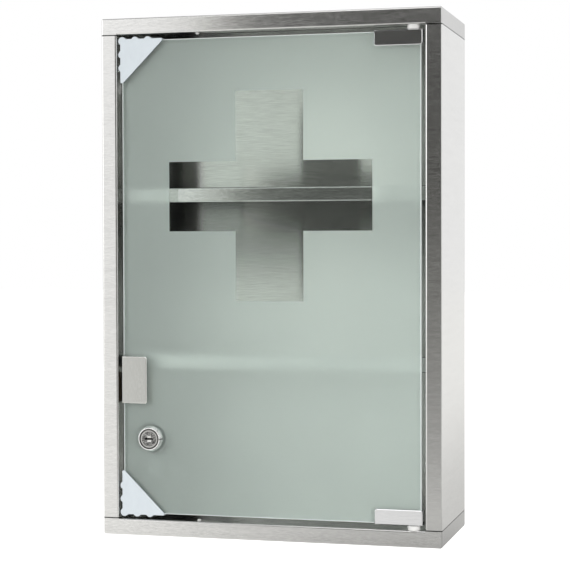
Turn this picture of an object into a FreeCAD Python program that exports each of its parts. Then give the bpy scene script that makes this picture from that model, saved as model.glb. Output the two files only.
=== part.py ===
import FreeCAD, Part
import math
import os

# Wall cabinet for medicines: a folded stainless carcass with a pivoting glass door.
# Lengths are in millimetres. X runs to the right, Y from the room to the wall, Z up.
# The origin is at the middle of the footprint, on the underside, so the front is at -Y.

Vector = FreeCAD.Vector

# Carcass
cabinet_width = 300.0
cabinet_height = 450.0
cabinet_depth = 120.0
sheet = 0.8
fold_radius = 1.5
frame_width = 14.0
frame_return = 12.0
rear_flange = 14.0
seam_gap = 0.2

# Tongues of the side panels, welded inside the caps
tongue_reach = 9.0
tongue_lap = 8.0
tongue_inset = 7.0
front_tongue_width = 8.0

# Back panel and the holes for the wall screws
back_edge_gap = 1.0
wall_hole_radius = 3.0
wall_hole_inset_x = 55.0
wall_hole_inset_z = 50.0

# Shelves and the angles that carry them
shelf_setback = 18.5
shelf_lip = 13.0
shelf_lip_return = 7.0
shelf_rear_lip = 8.0
shelf_side_gap = 0.6
shelf_back_gap = 0.6
upper_shelf_drop = 147.0
rest_leg = 12.0
rest_end_gap = 6.0

# Door glass with its frosted coat
door_recess = 3.0
glass_thickness = 4.0
frost_thickness = 0.2
frost_edge = 0.6
door_side_gap = 4.0
door_end_gap = 5.0
glass_corner_radius = 1.5
glass_arris = 0.4
cross_size = 180.0
cross_bar = 60.0
cross_drop = 136.0

# Clamps that grip the glass, with a liner in front and a pad behind
clamp_front_plate = 1.5
clamp_back_plate = 2.5
clamp_web = 1.0
clamp_corner_radius = 2.0
clamp_bevel = 0.6
liner_thickness = 0.3
pad_thickness = 1.0
pad_inset = 1.0
set_screw_radius = 2.0
set_screw_socket_width = 2.0
set_screw_socket_depth = 1.6

# Hinge clamps and pivots
hinge_clamp_length = 41.0
hinge_clamp_reach = 12.0
hinge_clamp_past_pivot = 7.8
hinge_screw_inset = 9.0
pivot_inset = 6.5
pin_radius = 2.5
pin_fit = 0.05
pin_reach = 2.0
pin_lead = 0.5
bush_flange_radius = 5.35
bush_wall = 1.5
bush_reach = 1.5
bush_edge = 0.4
pivot_end_gap = 0.2

# Handle clip and the buffers on the frame's lips
handle_length = 41.0
handle_reach = 22.0
handle_bottom = 115.0
handle_screw_inset = 11.0
buffer_radius = 1.8
buffer_height = 1.5
buffer_stem_radius = 1.2
buffer_barb_radius = 1.6
buffer_barb_height = 0.8
buffer_x = -64.0
buffer_setback = 6.5

# Magnetic catch
catch_width = 24.0
catch_height = 26.0
catch_depth = 12.0
catch_gap = 0.3
catch_corner_radius = 1.2
catch_shelf_gap = 4.0
pole_thickness = 1.2
pole_height = 13.0
pole_depth = 8.0
pole_proud = 0.7
magnet_width = 8.0
magnet_recess = 0.8
bracket_leg = 12.0
catch_screw_radius = 1.5
catch_screw_inset = 3.2
catch_screw_head_radius = 2.1
catch_screw_head_height = 1.3
catch_screw_sink = 1.6
catch_screw_slot = 0.6
catch_screw_past = 1.2
screw_head_fit = 0.2

# Cam lock
lock_inset = 25.0
lock_below_handle = 30.3
bezel_radius = 11.4
bezel_height = 4.5
bezel_rim = 1.2
bezel_front_radius = 9.6
front_gasket = 0.5
gasket_inset = 0.5
rear_gasket = 1.0
gasket_radius = 12.6
barrel_radius = 9.4
glass_hole_fit = 0.4
nut_width = 24.0
nut_height = 4.0
nut_corner_chamfer = 0.6
barrel_past_nut = 0.5
plug_face_radius = 8.35
plug_face_depth = 2.2
plug_face_recess = 0.2
plug_shank_radius = 6.0
plug_fit = 0.05
plug_end_gap = 0.1
plug_edge = 0.5
keyway_length = 8.0
keyway_width = 1.6
keyway_depth = 8.0
key_dish_radius = 3.3
key_dish_floor_radius = 2.4
key_dish_depth = 0.8
index_width = 0.5
index_depth = 0.4
cam_thickness = 2.0
cam_engagement = 6.5
cam_head_radius = 8.0
cam_tip_radius = 5.5
cam_barrel_gap = 0.3
cam_square = 7.0
cam_screw_radius = 2.0
cam_screw_grip = 6.0
cam_screw_head_radius = 3.8
cam_screw_head_height = 2.2
cam_screw_recess_radius = 1.5
cam_screw_recess_depth = 1.2

# Plastic guards on the free corners of the glass
guard_leg = 37.0
guard_wall = 1.2
guard_plate = 1.2
guard_tip = 1.0
guard_bevel = 0.5
lobe_radius = 3.6
lobe_reach = 3.0
lobe_pitch = 11.7
lobe_count = 3

# Places worked out from the sizes
overrun = 1.0
tiny = 0.001
half_width = cabinet_width / 2
lock_proud = front_gasket + bezel_height - door_recess
wall = (cabinet_depth + lock_proud) / 2
front = wall - cabinet_depth
cap_bottom = cabinet_height - frame_width
opening_half = half_width - frame_width
inner_half = half_width - sheet
glass_half = opening_half - door_side_gap
glass_top = cap_bottom - door_end_gap
glass_bottom = frame_width + door_end_gap
glass_front = front + door_recess
glass_back = glass_front + glass_thickness
door_back = glass_back + frost_thickness
pivot_x = glass_half - pivot_inset
pivot_y = glass_front + glass_thickness / 2
clamp_slot_front = glass_front - liner_thickness
clamp_slot_back = door_back + pad_thickness
clamp_front = clamp_slot_front - clamp_front_plate
clamp_back = clamp_slot_back + clamp_back_plate
hinge_clamp_x = pivot_x + hinge_clamp_past_pivot - hinge_clamp_length / 2
hinge_clamp_top = glass_top + clamp_web
handle_middle = handle_bottom + handle_length / 2
catch_top = handle_bottom + catch_height
catch_x = -glass_half + handle_reach / 2
pole_front = clamp_back + catch_gap
catch_front = pole_front + pole_proud
catch_back = catch_front + catch_depth
pocket_bottom = handle_bottom + (catch_height - pole_height) / 2
shelf_front = front + shelf_setback
shelf_back = wall - 2 * sheet - shelf_back_gap
shelf_half = inner_half - shelf_side_gap
upper_shelf_top = cabinet_height - upper_shelf_drop
lower_shelf_top = catch_top + catch_shelf_gap + shelf_lip
lock_x = lock_inset - glass_half
lock_z = handle_bottom - lock_below_handle
bezel_base = glass_front - front_gasket
bezel_front = bezel_base - bezel_height
nut_front = door_back + rear_gasket
barrel_end = nut_front + nut_height + barrel_past_nut
plug_seat = bezel_front + plug_face_recess + plug_face_depth + plug_end_gap
cam_front = barrel_end + cam_barrel_gap
cam_back = cam_front + cam_thickness
cam_length = opening_half + cam_engagement + lock_x


def box(low, high):
    """Block from its low corner to its high corner."""
    size = Vector(*high) - Vector(*low)
    return Part.makeBox(size.x, size.y, size.z, Vector(*low))


def prism(points, travel):
    """Solid swept from a flat outline of straight sides."""
    corners = [Vector(*point) for point in points]
    return Part.Face(Part.makePolygon(corners + corners[:1])).extrude(travel)


def turned(profile, base, axis):
    """Solid of revolution from (radius, height) corners, standing on base along axis."""
    corners = [Vector(radius, 0, height) for radius, height in profile]
    face = Part.Face(Part.makePolygon(corners + corners[:1]))
    solid = face.revolve(Vector(0, 0, 0), Vector(0, 0, 1), 360)
    solid.Placement = FreeCAD.Placement(Vector(*base), FreeCAD.Rotation(Vector(0, 0, 1), axis))
    return solid


def rod(radius, base, length, axis):
    """Plain round bar."""
    return Part.makeCylinder(radius, length, Vector(*base), axis)


def flip(shape):
    """The same piece at the other end of the cabinet, mirrored about mid height."""
    return shape.mirror(Vector(0, 0, cabinet_height / 2), Vector(0, 0, 1))


def swap_side(shape):
    """The same piece on the other side of the cabinet, mirrored about its middle."""
    return shape.mirror(Vector(0, 0, 0), Vector(1, 0, 0))


def moved(shape, offset):
    """Copy of a piece, shifted."""
    copy = shape.copy()
    copy.translate(Vector(*offset))
    return copy


def edges_in(shape, test):
    """Edges whose bounding box passes a test."""
    return [edge for edge in shape.Edges if test(edge.BoundBox)]


def rounded_run(corners, radii, place):
    """Edges along a line of corners, with each inner corner rounded to its radius."""
    edges = []
    start = corners[0]
    for before, corner, after, radius in zip(corners, corners[1:], corners[2:], radii):
        into = (corner - before) / (corner - before).Length
        out = (after - corner) / (after - corner).Length
        half_turn = into.getAngle(out) / 2
        inward = (out - into) / (out - into).Length
        first = corner - into * (radius * math.tan(half_turn))
        last = corner + out * (radius * math.tan(half_turn))
        crown = corner + inward * (radius / math.cos(half_turn) - radius)
        edges.append(Part.makeLine(place(start), place(first)))
        edges.append(Part.Arc(place(first), place(crown), place(last)).toShape())
        start = last
    edges.append(Part.makeLine(place(start), place(corners[-1])))
    return edges


def folded_sheet(path, place, travel):
    """Sheet folded along a path of corners, lying to the left of it, and swept along travel.

    place turns a corner of the path into a point in space.
    """
    outer = [Vector(*corner, 0) for corner in path]
    runs = [(b - a) / (b - a).Length for a, b in zip(outer, outer[1:])]
    left = [Vector(-run.y, run.x, 0) for run in runs]
    shifts = [left[0]]
    for one, other in zip(left, left[1:]):
        shifts.append((one + other) / (1 + one.dot(other)))
    shifts.append(left[-1])
    inner = [corner + shift * sheet for corner, shift in zip(outer, shifts)]
    turns_left = [one.cross(other).z > 0 for one, other in zip(runs, runs[1:])]
    near = [fold_radius if turn else fold_radius - sheet for turn in turns_left]
    far = [fold_radius - sheet if turn else fold_radius for turn in turns_left]
    edges = rounded_run(outer, near, place)
    edges.append(Part.makeLine(place(outer[-1]), place(inner[-1])))
    edges += rounded_run(inner[::-1], far[::-1], place)
    edges.append(Part.makeLine(place(inner[0]), place(outer[0])))
    return Part.Face(Part.Wire(edges)).extrude(travel)


def cap_pan():
    """Pan with closed, rounded corners that makes the top of the cabinet, open downwards."""
    blank = box((-half_width, front, cap_bottom), (half_width, wall, cabinet_height))
    hollow = box(
        (-inner_half, front + sheet, cap_bottom - overrun),
        (inner_half, wall - sheet, cabinet_height - sheet),
    )
    folds = edges_in(blank, lambda bounds: bounds.ZMax > cap_bottom + tiny)
    inside_folds = edges_in(hollow, lambda bounds: bounds.ZMax > cap_bottom)
    return blank.makeFillet(fold_radius, folds).cut(
        hollow.makeFillet(fold_radius - sheet, inside_folds)
    )


def top_cap():
    """Cap whose front turns back under the opening's edge, with its pivot and buffer holes."""
    hem_top = cap_bottom + frame_width / 2
    notch = box(
        (-opening_half, front - overrun, cap_bottom - overrun),
        (opening_half, front + sheet, hem_top),
    )
    hem = folded_sheet(
        [(front, hem_top), (front, cap_bottom), (front + frame_return, cap_bottom)],
        lambda corner: Vector(-opening_half, corner.x, corner.y),
        Vector(2 * opening_half, 0, 0),
    )
    cap = cap_pan().cut(notch).fuse(hem)
    holes = [
        rod(
            pin_radius + pin_fit + bush_wall,
            (pivot_x, pivot_y, cap_bottom - overrun),
            sheet + 2 * overrun,
            Vector(0, 0, 1),
        ),
        rod(
            buffer_stem_radius,
            (buffer_x, front + buffer_setback, cap_bottom - overrun),
            sheet + 2 * overrun,
            Vector(0, 0, 1),
        ),
    ]
    return cap.cut(holes).removeSplitter()


def right_side_panel():
    """Side wall folded round the front frame and the rear flange, with tongues for the caps."""
    top = cap_bottom - seam_gap
    bottom = frame_width + seam_gap
    panel = folded_sheet(
        [
            (opening_half, front + frame_return),
            (opening_half, front),
            (half_width, front),
            (half_width, wall),
            (half_width - rear_flange, wall),
        ],
        lambda corner: Vector(corner.x, corner.y, bottom),
        Vector(0, 0, top - bottom),
    )
    side_tongue = box(
        (inner_half - sheet, front + tongue_inset, top - tongue_lap),
        (inner_half, wall - tongue_inset, cap_bottom + tongue_reach),
    )
    tongue_left = opening_half + 2 * sheet
    front_tongue = box(
        (tongue_left, front + sheet, top - tongue_lap),
        (tongue_left + front_tongue_width, front + 2 * sheet, cap_bottom + tongue_reach),
    )
    tongues = [side_tongue, front_tongue, flip(side_tongue), flip(front_tongue)]
    return panel.fuse(tongues).removeSplitter()


def back_panel():
    """Flat sheet welded to the inside of the rear flanges, with four wall holes."""
    edge = sheet + back_edge_gap
    panel = box(
        (-half_width + edge, wall - 2 * sheet, edge),
        (half_width - edge, wall - sheet, cabinet_height - edge),
    )
    columns = [wall_hole_inset_x - half_width, half_width - wall_hole_inset_x]
    rows = [wall_hole_inset_z, cabinet_height - wall_hole_inset_z]
    holes = [
        rod(
            wall_hole_radius,
            (column, wall - 2 * sheet - overrun, row),
            sheet + 2 * overrun,
            Vector(0, 1, 0),
        )
        for column in columns
        for row in rows
    ]
    return panel.cut(holes)


def shelf(top):
    """Shelf with a front lip turned under, and a short lip down at the back."""
    return folded_sheet(
        [
            (shelf_back, top - shelf_rear_lip),
            (shelf_back, top),
            (shelf_front, top),
            (shelf_front, top - shelf_lip),
            (shelf_front + shelf_lip_return, top - shelf_lip),
        ],
        lambda corner: Vector(-shelf_half, corner.x, corner.y),
        Vector(2 * shelf_half, 0, 0),
    )


def shelf_rests(top):
    """Pair of angles, welded to the side walls, that carry a shelf."""
    under = top - sheet
    start = shelf_front + shelf_lip_return + rest_end_gap
    angle = folded_sheet(
        [(inner_half, under - rest_leg), (inner_half, under), (inner_half - rest_leg, under)],
        lambda corner: Vector(corner.x, start, corner.y),
        Vector(0, shelf_back - rest_end_gap - start, 0),
    )
    return Part.makeCompound([angle, swap_side(angle)])


def glass_blank(low, high, edge):
    """Flat plate behind the door's front plane, inset by edge, with the lock's hole in it."""
    plate = box(
        (-glass_half + edge, low, glass_bottom + edge),
        (glass_half - edge, high, glass_top - edge),
    )
    corners = edges_in(plate, lambda bounds: bounds.YLength > (high - low) / 2)
    hole = rod(
        barrel_radius + glass_hole_fit,
        (lock_x, low - overrun, lock_z),
        high - low + 2 * overrun,
        Vector(0, 1, 0),
    )
    return plate.makeFillet(glass_corner_radius, corners), hole


def door_glass():
    """Toughened glass plate with eased edges and a hole for the lock."""
    plate, hole = glass_blank(glass_front, glass_back, 0)
    rims = edges_in(plate, lambda bounds: bounds.YLength < tiny)
    return plate.makeChamfer(glass_arris, rims).cut(hole)


def frosted_coat():
    """Frosted layer fired on the back of the glass, with a clear cross left in it."""
    plate, hole = glass_blank(glass_back, door_back, frost_edge)
    centre = glass_top - cross_drop
    upright = box(
        (-cross_bar / 2, glass_back - overrun, centre - cross_size / 2),
        (cross_bar / 2, door_back + overrun, centre + cross_size / 2),
    )
    arms = box(
        (-cross_size / 2, glass_back - overrun, centre - cross_bar / 2),
        (cross_size / 2, door_back + overrun, centre + cross_bar / 2),
    )
    return plate.cut([upright, arms, hole])


def glass_clamp(length, reach, screw_inset):
    """U-shaped clamp over a glass edge that runs along X at height zero, glass below."""
    block = box(
        (-length / 2, clamp_front, -reach),
        (length / 2, clamp_back, clamp_web),
    )
    corners = edges_in(
        block, lambda bounds: bounds.YLength > clamp_front_plate and bounds.ZMax < 0
    )
    block = block.makeFillet(clamp_corner_radius, corners)
    rim = edges_in(block, lambda bounds: bounds.YMax < clamp_front + tiny)
    block = block.makeChamfer(clamp_bevel, rim)
    slot = box(
        (-length / 2 - overrun, clamp_slot_front, -reach - overrun),
        (length / 2 + overrun, clamp_slot_back, 0),
    )
    return block.cut([slot] + set_screw_bores(length, reach, screw_inset))


def set_screw_places(length, reach, screw_inset):
    """Places of a clamp's two set screws, on the front of its back plate."""
    across = length / 2 - screw_inset
    return [(-across, clamp_slot_back, -reach / 2), (across, clamp_slot_back, -reach / 2)]


def set_screw_bores(length, reach, screw_inset):
    """Holes for a clamp's set screws through its back plate."""
    return [
        rod(set_screw_radius, place, clamp_back_plate + overrun, Vector(0, 1, 0))
        for place in set_screw_places(length, reach, screw_inset)
    ]


def clamp_screws(length, reach, screw_inset):
    """Two set screws, flush with the clamp's back, that press on the pad."""
    screws = []
    for place in set_screw_places(length, reach, screw_inset):
        body = rod(set_screw_radius, place, clamp_back_plate, Vector(0, 1, 0))
        screws.append(body.cut(hex_socket(place)))
    return screws


def hex_socket(place):
    """Six-sided recess in the back end of a set screw."""
    corner_radius = set_screw_socket_width / math.sqrt(3)
    floor = clamp_back - set_screw_socket_depth
    points = [
        (
            place[0] + corner_radius * math.cos(math.radians(60 * step)),
            floor,
            place[2] + corner_radius * math.sin(math.radians(60 * step)),
        )
        for step in range(6)
    ]
    return prism(points, Vector(0, set_screw_socket_depth + overrun, 0))


def clamp_liner(length, reach):
    """Thin liner between a clamp's front plate and the glass."""
    return box(
        (pad_inset - length / 2, clamp_slot_front, pad_inset - reach),
        (length / 2 - pad_inset, glass_front, 0),
    )


def clamp_pad(length, reach):
    """Pad between the glass and the set screws."""
    return box(
        (pad_inset - length / 2, door_back, pad_inset - reach),
        (length / 2 - pad_inset, clamp_slot_back, 0),
    )


def at_upper_hinge(shape):
    """Piece made for a level edge, put on the top of the glass over the pivot."""
    return moved(shape, (hinge_clamp_x, 0, glass_top))


def at_handle(shape):
    """Piece made for a level edge, turned onto the free edge of the glass."""
    upright = shape.copy()
    upright.rotate(Vector(0, 0, 0), Vector(0, 1, 0), -90)
    upright.translate(Vector(-glass_half, 0, handle_middle))
    return upright


def both_ends(shapes):
    """Group of solids at the upper hinge together with the same group at the lower one."""
    return Part.makeCompound(shapes + [flip(shape) for shape in shapes])


def upper_hinge_clamp():
    """Clamp on the top edge of the glass, drilled for the pivot pin."""
    clamp = at_upper_hinge(
        glass_clamp(hinge_clamp_length, hinge_clamp_reach, hinge_screw_inset)
    )
    return clamp.cut(
        rod(pin_radius, (pivot_x, pivot_y, glass_top - tiny), clamp_web + overrun, Vector(0, 0, 1))
    )


def upper_hinge_pin():
    """Pin staked in the clamp's web, turning in the bush above it."""
    length = cap_bottom + sheet + pin_reach - glass_top
    return turned(
        [
            (0, 0),
            (pin_radius, 0),
            (pin_radius, length - pin_lead),
            (pin_radius - pin_lead, length),
            (0, length),
        ],
        (pivot_x, pivot_y, glass_top),
        Vector(0, 0, 1),
    )


def upper_pivot_bush():
    """Flanged bush pressed into the cap's lip, whose flange spaces the clamp from it."""
    bore = pin_radius + pin_fit
    flange = cap_bottom - hinge_clamp_top - pivot_end_gap
    return turned(
        [
            (bore, 0),
            (bush_flange_radius - bush_edge, 0),
            (bush_flange_radius, bush_edge),
            (bush_flange_radius, flange - bush_edge),
            (bush_flange_radius - bush_edge, flange),
            (bore + bush_wall, flange),
            (bore + bush_wall, flange + sheet + bush_reach),
            (bore, flange + sheet + bush_reach),
        ],
        (pivot_x, pivot_y, cap_bottom - flange),
        Vector(0, 0, 1),
    )


def lip_buffers():
    """Push-in buttons on the upper and lower lips of the frame."""
    button = turned(
        [
            (0, 0),
            (buffer_radius / 2, 0),
            (buffer_radius, buffer_height / 2),
            (buffer_radius, buffer_height),
            (buffer_stem_radius, buffer_height),
            (buffer_stem_radius, buffer_height + sheet),
            (buffer_barb_radius, buffer_height + sheet),
            (buffer_stem_radius, buffer_height + sheet + buffer_barb_height),
            (0, buffer_height + sheet + buffer_barb_height),
        ],
        (buffer_x, front + buffer_setback, cap_bottom - buffer_height),
        Vector(0, 0, 1),
    )
    return both_ends([button])


def catch_bracket():
    """Angle welded to the left wall that carries the catch behind the handle clip."""
    bracket = folded_sheet(
        [
            (-inner_half, catch_back + bracket_leg),
            (-inner_half, catch_back),
            (catch_x + catch_width / 2, catch_back),
        ],
        lambda corner: Vector(corner.x, corner.y, handle_bottom),
        Vector(0, 0, catch_height),
    )
    return bracket.cut([bore for bore, head in catch_screw_cuts()])


def catch_screw_heights():
    """Heights of the two screws that hold the catch."""
    return [handle_bottom + catch_screw_inset, catch_top - catch_screw_inset]


def catch_screw_cuts():
    """Bore and head recess for each of the catch's screws."""
    cuts = []
    for height in catch_screw_heights():
        bore = rod(
            catch_screw_radius,
            (catch_x, catch_front, height),
            catch_depth + sheet + overrun,
            Vector(0, 1, 0),
        )
        head = rod(
            catch_screw_head_radius + screw_head_fit,
            (catch_x, catch_front - overrun, height),
            catch_screw_sink + overrun,
            Vector(0, 1, 0),
        )
        cuts.append((bore, head))
    return cuts


def catch_pocket():
    """Space in the catch's housing that the poles and the magnet fill."""
    half_pocket = magnet_width / 2 + pole_thickness
    return box(
        (catch_x - half_pocket, catch_front - overrun, pocket_bottom),
        (catch_x + half_pocket, pole_front + pole_depth, pocket_bottom + pole_height),
    )


def catch_housing():
    """Moulded block with a pocket for the magnet and two sunk screw holes."""
    block = box(
        (catch_x - catch_width / 2, catch_front, handle_bottom),
        (catch_x + catch_width / 2, catch_back, catch_top),
    )
    corners = edges_in(block, lambda bounds: bounds.YLength > catch_depth / 2)
    block = block.makeFillet(catch_corner_radius, corners)
    cuts = [cut for pair in catch_screw_cuts() for cut in pair]
    return block.cut([catch_pocket()] + cuts)


def catch_poles():
    """Two steel plates beside the magnet, standing a little proud of the housing."""
    left = box(
        (catch_x - magnet_width / 2 - pole_thickness, pole_front, pocket_bottom),
        (catch_x - magnet_width / 2, pole_front + pole_depth, pocket_bottom + pole_height),
    )
    return Part.makeCompound([left, moved(left, (magnet_width + pole_thickness, 0, 0))])


def catch_magnet():
    """Ferrite block between the poles."""
    return box(
        (catch_x - magnet_width / 2, catch_front + magnet_recess, pocket_bottom),
        (catch_x + magnet_width / 2, pole_front + pole_depth, pocket_bottom + pole_height),
    )


def catch_screws():
    """Two slotted screws through the housing and the bracket."""
    seat = catch_screw_sink
    tail = catch_depth + sheet + catch_screw_past
    screws = []
    for height in catch_screw_heights():
        screw = turned(
            [
                (0, seat - catch_screw_head_height),
                (catch_screw_head_radius, seat - catch_screw_head_height),
                (catch_screw_head_radius, seat),
                (catch_screw_radius, seat),
                (catch_screw_radius, tail),
                (0, tail),
            ],
            (catch_x, catch_front, height),
            Vector(0, 1, 0),
        )
        top = catch_front + seat - catch_screw_head_height
        slot = box(
            (catch_x - catch_width / 2, top - overrun, height - catch_screw_slot / 2),
            (catch_x + catch_width / 2, top + catch_screw_slot, height + catch_screw_slot / 2),
        )
        screws.append(screw.cut(slot))
    return Part.makeCompound(screws)


def lock_housing():
    """Bezel and threaded barrel in one piece, with an index line at its right."""
    bore = plug_shank_radius + plug_fit
    face_bore = plug_face_radius + plug_fit
    seat = plug_seat - bezel_front
    housing = turned(
        [
            (face_bore, 0),
            (bezel_front_radius, 0),
            (bezel_radius, bezel_height - bezel_rim),
            (bezel_radius, bezel_height),
            (barrel_radius, bezel_height),
            (barrel_radius, barrel_end - bezel_front),
            (bore, barrel_end - bezel_front),
            (bore, seat),
            (face_bore, seat),
        ],
        (lock_x, bezel_front, lock_z),
        Vector(0, 1, 0),
    )
    index = box(
        (lock_x + plug_face_radius, bezel_front - overrun, lock_z - index_width / 2),
        (lock_x + bezel_radius, bezel_front + index_depth, lock_z + index_width / 2),
    )
    return housing.cut(index)


def ring(outer_radius, inner_radius, start, end):
    """Flat ring round the lock's axis."""
    length = end - start
    return turned(
        [(inner_radius, 0), (outer_radius, 0), (outer_radius, length), (inner_radius, length)],
        (lock_x, start, lock_z),
        Vector(0, 1, 0),
    )


def lock_gaskets():
    """Thin gasket under the bezel, and a thicker one under the nut."""
    thin = ring(bezel_radius - gasket_inset, barrel_radius, bezel_base, glass_front)
    thick = ring(gasket_radius, barrel_radius, door_back, nut_front)
    return Part.makeCompound([thin, thick])


def lock_nut():
    """Six-sided nut on the barrel, with its corners eased."""
    corner_radius = nut_width / math.sqrt(3)
    points = [
        (
            lock_x + corner_radius * math.cos(math.radians(60 * step)),
            nut_front,
            lock_z + corner_radius * math.sin(math.radians(60 * step)),
        )
        for step in range(6)
    ]
    hexagon = prism(points, Vector(0, nut_height, 0))
    eased = turned(
        [
            (barrel_radius, 0),
            (corner_radius - nut_corner_chamfer, 0),
            (corner_radius, nut_corner_chamfer),
            (corner_radius, nut_height - nut_corner_chamfer),
            (corner_radius - nut_corner_chamfer, nut_height),
            (barrel_radius, nut_height),
        ],
        (lock_x, nut_front, lock_z),
        Vector(0, 1, 0),
    )
    return hexagon.common(eased)


def lock_cylinder():
    """Turning plug with its keyway in front and a square for the cam behind."""
    face = bezel_front + plug_face_recess
    plug = turned(
        [
            (0, key_dish_depth),
            (key_dish_floor_radius, key_dish_depth),
            (key_dish_radius, 0),
            (plug_face_radius - plug_edge, 0),
            (plug_face_radius, plug_edge),
            (plug_face_radius, plug_face_depth),
            (plug_shank_radius, plug_face_depth),
            (plug_shank_radius, cam_front - face),
            (0, cam_front - face),
        ],
        (lock_x, face, lock_z),
        Vector(0, 1, 0),
    )
    square = box(
        (lock_x - cam_square / 2, cam_front - overrun, lock_z - cam_square / 2),
        (lock_x + cam_square / 2, cam_back, lock_z + cam_square / 2),
    )
    keyway = box(
        (lock_x - keyway_length / 2, face - overrun, lock_z - keyway_width / 2),
        (lock_x + keyway_length / 2, face + keyway_depth, lock_z + keyway_width / 2),
    )
    screw_hole = rod(
        cam_screw_radius,
        (lock_x, cam_back - cam_screw_grip, lock_z),
        cam_screw_grip + overrun,
        Vector(0, 1, 0),
    )
    return plug.fuse(square).cut([keyway, screw_hole])


def lock_cam():
    """Flat tapered arm on the plug's square, hanging down when the door is unlocked."""
    arm = cam_length - cam_tip_radius
    lean = math.asin((cam_head_radius - cam_tip_radius) / arm)
    sides = []
    for radius, drop in ((cam_head_radius, 0), (cam_tip_radius, arm)):
        across = radius * math.cos(lean)
        down = drop + radius * math.sin(lean)
        sides.append((lock_x - across, cam_front, lock_z - down))
        sides.append((lock_x + across, cam_front, lock_z - down))
    web = prism([sides[0], sides[1], sides[3], sides[2]], Vector(0, cam_thickness, 0))
    head = rod(cam_head_radius, (lock_x, cam_front, lock_z), cam_thickness, Vector(0, 1, 0))
    tip = rod(cam_tip_radius, (lock_x, cam_front, lock_z - arm), cam_thickness, Vector(0, 1, 0))
    square = box(
        (lock_x - cam_square / 2, cam_front - overrun, lock_z - cam_square / 2),
        (lock_x + cam_square / 2, cam_back + overrun, lock_z + cam_square / 2),
    )
    return head.fuse([web, tip]).cut(square).removeSplitter()


def cam_screw():
    """Screw that keeps the cam on the plug."""
    grip = cam_screw_grip
    screw = turned(
        [
            (0, 0),
            (cam_screw_radius, 0),
            (cam_screw_radius, grip),
            (cam_screw_head_radius, grip),
            (cam_screw_head_radius, grip + cam_screw_head_height),
            (0, grip + cam_screw_head_height),
        ],
        (lock_x, cam_back - grip, lock_z),
        Vector(0, 1, 0),
    )
    recess = rod(
        cam_screw_recess_radius,
        (lock_x, cam_back + cam_screw_head_height - cam_screw_recess_depth, lock_z),
        cam_screw_recess_depth + overrun,
        Vector(0, 1, 0),
    )
    return screw.cut(recess)


def upper_corner_guard():
    """Three-cornered guard pushed over the top free corner of the glass, with sprung lobes."""
    guard_front = glass_front - guard_plate
    guard_back = door_back + guard_plate
    thickness = Vector(0, guard_back - guard_front, 0)
    left = -glass_half
    plate = prism(
        [
            (left - guard_wall, guard_front, glass_top + guard_wall),
            (left + guard_leg, guard_front, glass_top + guard_wall),
            (left + guard_leg, guard_front, glass_top - guard_tip),
            (left + guard_tip, guard_front, glass_top - guard_leg),
            (left - guard_wall, guard_front, glass_top - guard_leg),
        ],
        thickness,
    )
    long_edge = edges_in(
        plate,
        lambda bounds: bounds.YMax < guard_front + tiny
        and bounds.XLength > guard_leg / 2
        and bounds.ZLength > guard_leg / 2,
    )
    plate = plate.makeChamfer(guard_bevel, long_edge)
    sink = lobe_radius - lobe_reach
    lobes = []
    for step in range(lobe_count):
        along = sink + step * lobe_pitch
        lobes.append((left + along, guard_front, glass_top - sink))
        lobes.append((left + sink, guard_front, glass_top - along))
    lobes = [rod(lobe_radius, lobe, thickness.y, Vector(0, 1, 0)) for lobe in lobes[1:]]
    slot = box(
        (left, glass_front, glass_top - guard_leg - overrun),
        (left + guard_leg + overrun, door_back, glass_top),
    )
    return plate.fuse(lobes).removeSplitter().cut(slot)


def hinge_group(make):
    """Pieces of both hinge clamps, made by one function of a clamp's length and reach."""
    pieces = make(hinge_clamp_length, hinge_clamp_reach)
    return both_ends([at_upper_hinge(piece) for piece in pieces])


NODES = {
    "top_cap": top_cap,
    "bottom_cap": lambda: flip(top_cap()),
    "left_side_panel": lambda: swap_side(right_side_panel()),
    "right_side_panel": right_side_panel,
    "back_panel": back_panel,
    "upper_shelf": lambda: shelf(upper_shelf_top),
    "lower_shelf": lambda: shelf(lower_shelf_top),
    "upper_shelf_rests": lambda: shelf_rests(upper_shelf_top),
    "lower_shelf_rests": lambda: shelf_rests(lower_shelf_top),
    "upper_pivot_bush": upper_pivot_bush,
    "lower_pivot_bush": lambda: flip(upper_pivot_bush()),
    "lip_buffers": lip_buffers,
    "catch_bracket": catch_bracket,
    "catch_housing": catch_housing,
    "catch_poles": catch_poles,
    "catch_magnet": catch_magnet,
    "catch_screws": catch_screws,
    "door_glass": door_glass,
    "frosted_coat": frosted_coat,
    "upper_hinge_clamp": upper_hinge_clamp,
    "lower_hinge_clamp": lambda: flip(upper_hinge_clamp()),
    "upper_hinge_pin": upper_hinge_pin,
    "lower_hinge_pin": lambda: flip(upper_hinge_pin()),
    "hinge_liners": lambda: hinge_group(lambda *size: [clamp_liner(*size)]),
    "hinge_pads": lambda: hinge_group(lambda *size: [clamp_pad(*size)]),
    "hinge_screws": lambda: hinge_group(lambda *size: clamp_screws(*size, hinge_screw_inset)),
    "handle_clip": lambda: at_handle(
        glass_clamp(handle_length, handle_reach, handle_screw_inset)
    ),
    "handle_liner": lambda: at_handle(clamp_liner(handle_length, handle_reach)),
    "handle_pad": lambda: at_handle(clamp_pad(handle_length, handle_reach)),
    "handle_screws": lambda: at_handle(
        Part.makeCompound(clamp_screws(handle_length, handle_reach, handle_screw_inset))
    ),
    "lock_housing": lock_housing,
    "lock_gaskets": lock_gaskets,
    "lock_nut": lock_nut,
    "upper_corner_guard": upper_corner_guard,
    "lower_corner_guard": lambda: flip(upper_corner_guard()),
    "lock_cylinder": lock_cylinder,
    "lock_cam": lock_cam,
    "cam_screw": cam_screw,
}


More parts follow.
